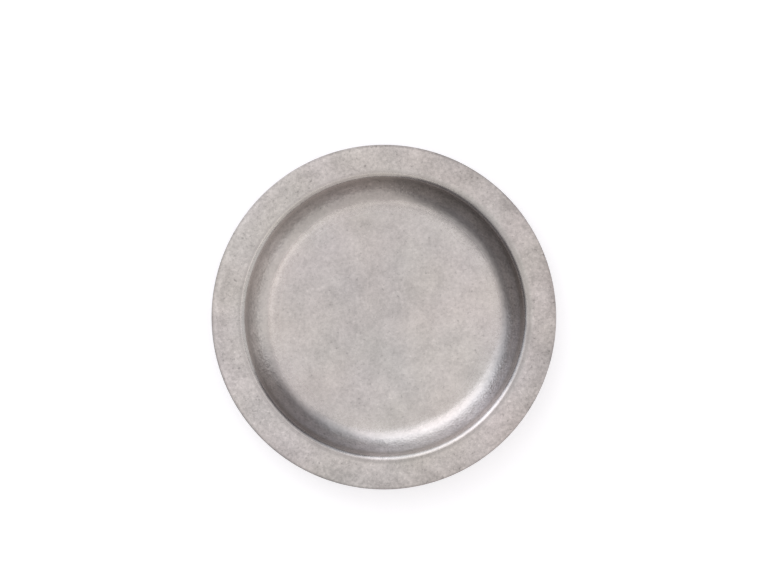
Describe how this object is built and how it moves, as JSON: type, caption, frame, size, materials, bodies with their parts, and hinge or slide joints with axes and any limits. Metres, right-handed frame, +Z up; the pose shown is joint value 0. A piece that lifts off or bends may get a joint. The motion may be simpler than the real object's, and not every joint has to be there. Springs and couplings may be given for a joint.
{
  "type": "plate",
  "caption": "Round rim plate pressed from sheet steel, with a flat floor, a sloping wall and a flat rim eased down at its edge, for serving food.",
  "frame": {"origin": "centre of the plate's underside, on the surface it stands on", "axes": "+Z up along the plate's axis, out of the well; X and Y are alike"},
  "size_m": [0.2, 0.2, 0.017],
  "materials": {
    "aged_steel": "tumbled and darkened to a dull, mottled warm grey"
  },
  "bodies": {
    "root": {"pressed_plate": "aged_steel"}
  },
  "joints": []
}
